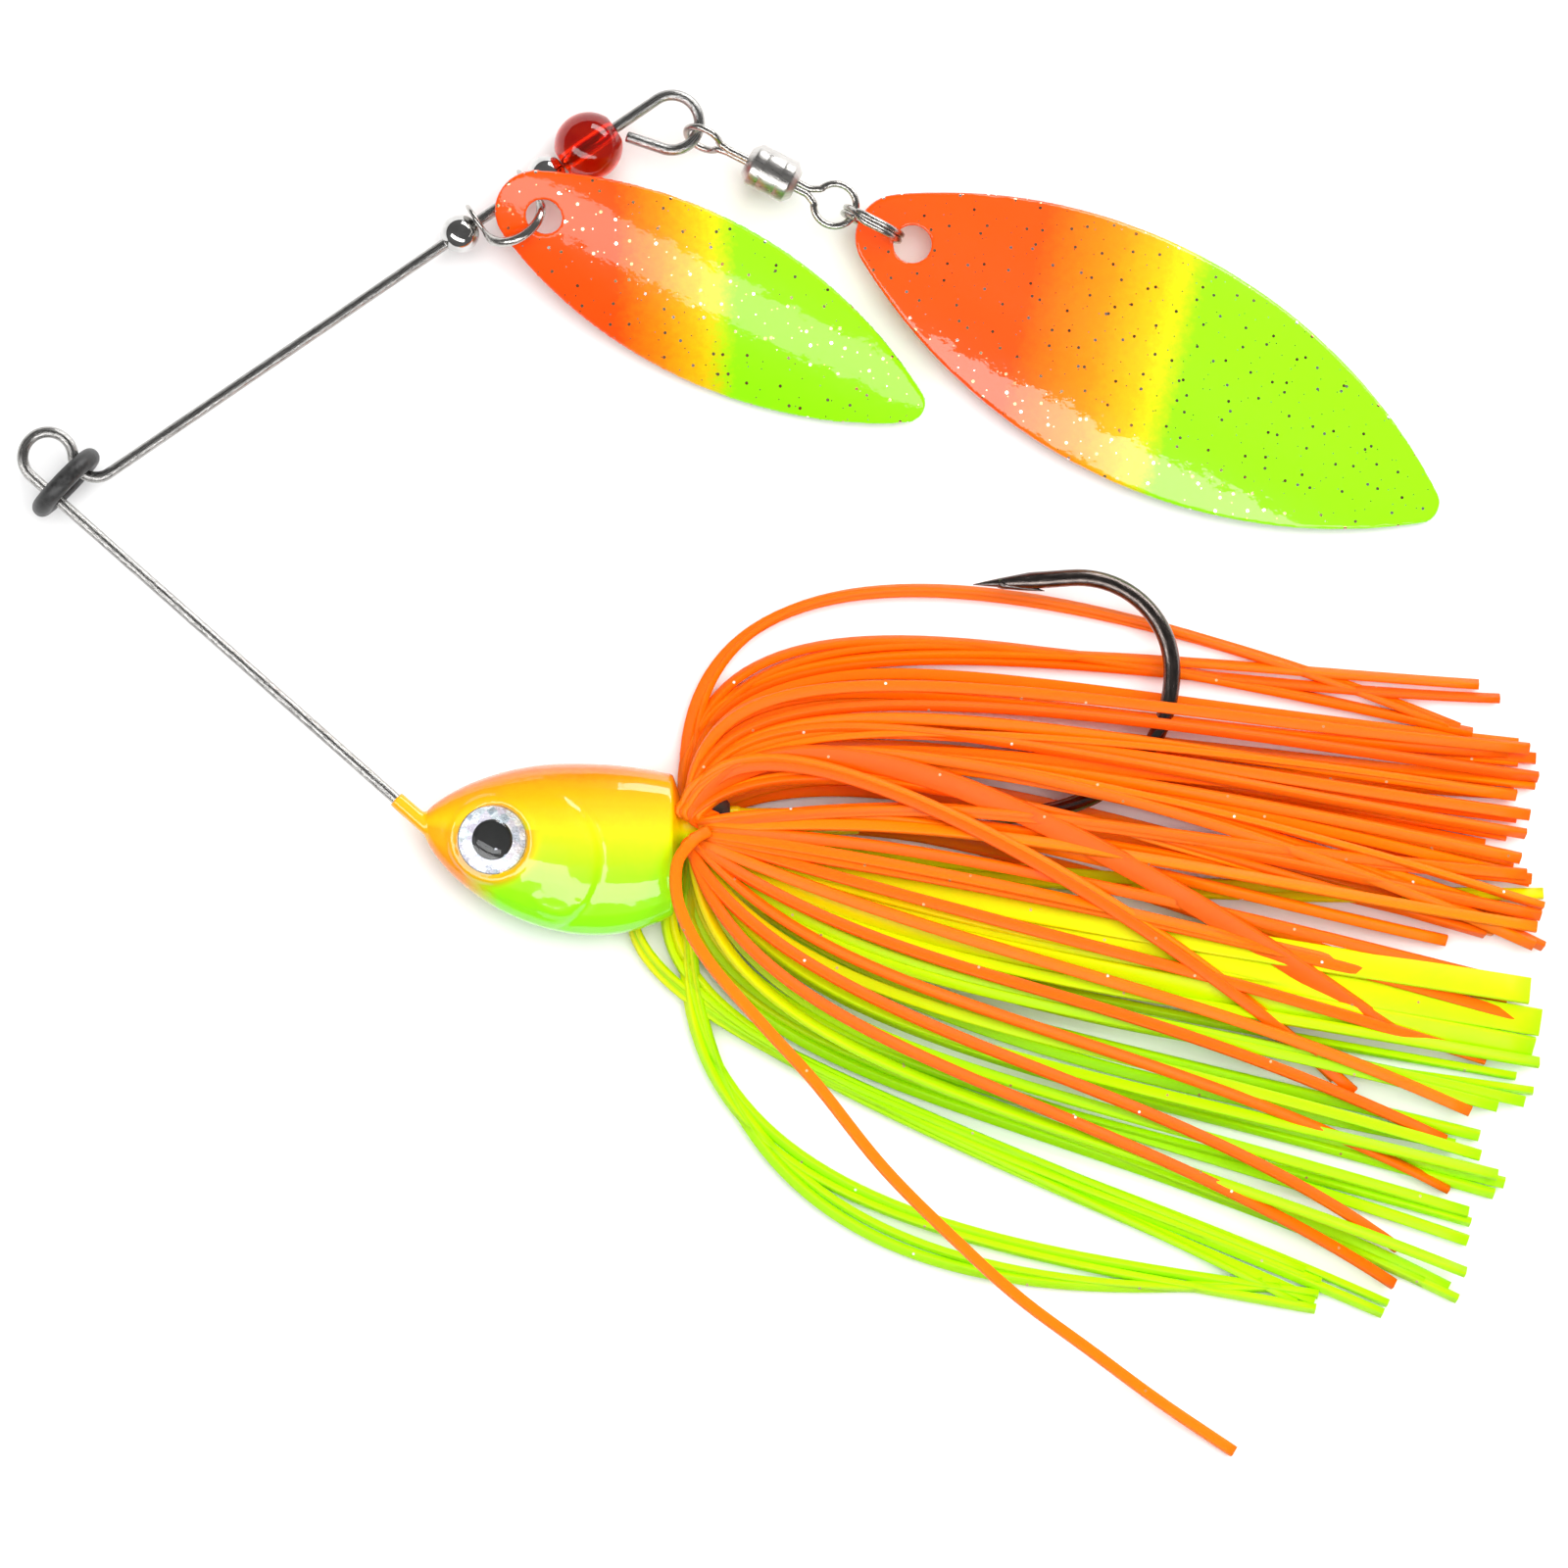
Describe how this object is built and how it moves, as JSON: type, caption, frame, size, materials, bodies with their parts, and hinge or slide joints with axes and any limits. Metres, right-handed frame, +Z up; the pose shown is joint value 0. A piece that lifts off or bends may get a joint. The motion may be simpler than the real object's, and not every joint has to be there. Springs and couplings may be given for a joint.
{
  "type": "spinnerbait",
  "caption": "Tandem spinnerbait: bent wire form, fish-shaped head with hook and silicone skirt, and two willow blades on a clevis and a swivel.",
  "frame": {"origin": "centre of the line-tie loop, in the plane of the wire form", "axes": "+X towards the skirt's tails, +Y towards the blades, +Z up from the surface that the lure lies on its side on"},
  "size_m": [0.1336, 0.1196, 0.0119],
  "materials": {
    "wire": "bright drawn stainless wire",
    "hardware_steel": "bright nickel plate",
    "bead_steel": "polished steel",
    "hook_steel": "black nickel",
    "ring_rubber": "soft matte",
    "head_paint": "gloss paint, orange to chartreuse",
    "blade_paint": "gloss paint with glitter, orange to chartreuse",
    "eye_foil": "wrinkled holographic foil with a black pupil",
    "eye_dome": "clear epoxy",
    "red_glass": "clear red",
    "skirt_orange": "satin silicone",
    "skirt_chartreuse": "satin translucent silicone"
  },
  "bodies": {
    "lure": {"wire_form": "wire", "line_tie_ring": "ring_rubber", "head": "head_paint", "eye_foil_left": "eye_foil", "eye_foil_right": "eye_foil", "eye_dome_left": "eye_dome", "eye_dome_right": "eye_dome", "hook": "hook_steel", "skirt_band": "ring_rubber", "skirt_orange_upper": "skirt_orange", "skirt_orange_lower": "skirt_orange", "skirt_chartreuse_upper": "skirt_chartreuse", "skirt_chartreuse_lower": "skirt_chartreuse", "loose_strand": "skirt_orange"},
    "lower_bead": {"lower_bead": "bead_steel"},
    "clevis": {"clevis": "hardware_steel"},
    "small_blade": {"small_blade": "blade_paint"},
    "upper_bead": {"upper_bead": "bead_steel"},
    "glass_bead": {"glass_bead": "red_glass"},
    "swivel_front_eye": {"swivel_front_eye": "hardware_steel"},
    "swivel_barrel": {"swivel_barrel": "hardware_steel"},
    "swivel_rear_eye": {"swivel_rear_eye": "hardware_steel"},
    "split_ring": {"split_ring": "hardware_steel"},
    "large_blade": {"large_blade": "blade_paint"}
  },
  "joints": [
    {"name": "stack_slide", "type": "slide", "parent": "lure", "child": "lower_bead", "axis": [0.8261, 0.5635, 0], "range_m": [-0.02, 0]},
    {"name": "clevis_spin", "type": "hinge", "parent": "lure", "child": "clevis", "pos_m": [0.00532, -0.0014, 0], "axis": [0.8261, 0.5635, 0], "continuous": true},
    {"name": "small_blade_swing", "type": "hinge", "parent": "clevis", "child": "small_blade", "pos_m": [0.04063, 0.02075, 0.00165], "axis": [0.4054, -0.5942, -0.6947], "range_deg": [-4, 30]},
    {"name": "upper_bead_spin", "type": "hinge", "parent": "lure", "child": "upper_bead", "pos_m": [0.00532, -0.0014, 0], "axis": [0.8261, 0.5635, 0], "continuous": true},
    {"name": "glass_bead_spin", "type": "hinge", "parent": "lure", "child": "glass_bead", "pos_m": [0.00532, -0.0014, 0], "axis": [0.8261, 0.5635, 0], "continuous": true},
    {"name": "swivel_swing", "type": "hinge", "parent": "lure", "child": "swivel_front_eye", "pos_m": [0.05442, 0.02919, 0], "axis": [0, 0, 1], "range_deg": [-3, 60]},
    {"name": "barrel_spin", "type": "hinge", "parent": "swivel_front_eye", "child": "swivel_barrel", "pos_m": [0.05442, 0.02919, 0], "axis": [0.8926, -0.4509, 0], "continuous": true},
    {"name": "rear_eye_spin", "type": "hinge", "parent": "swivel_barrel", "child": "swivel_rear_eye", "pos_m": [0.05442, 0.02919, 0], "axis": [0.8926, -0.4509, 0], "continuous": true},
    {"name": "split_ring_swing", "type": "hinge", "parent": "swivel_rear_eye", "child": "split_ring", "pos_m": [0.06864, 0.02201, 0], "axis": [0, 0, 1], "range_deg": [-4, 4]},
    {"name": "large_blade_tilt", "type": "hinge", "parent": "split_ring", "child": "large_blade", "pos_m": [0.07192, 0.02035, 0], "axis": [0.4509, 0.8926, 0], "range_deg": [-20, 20]}
  ]
}
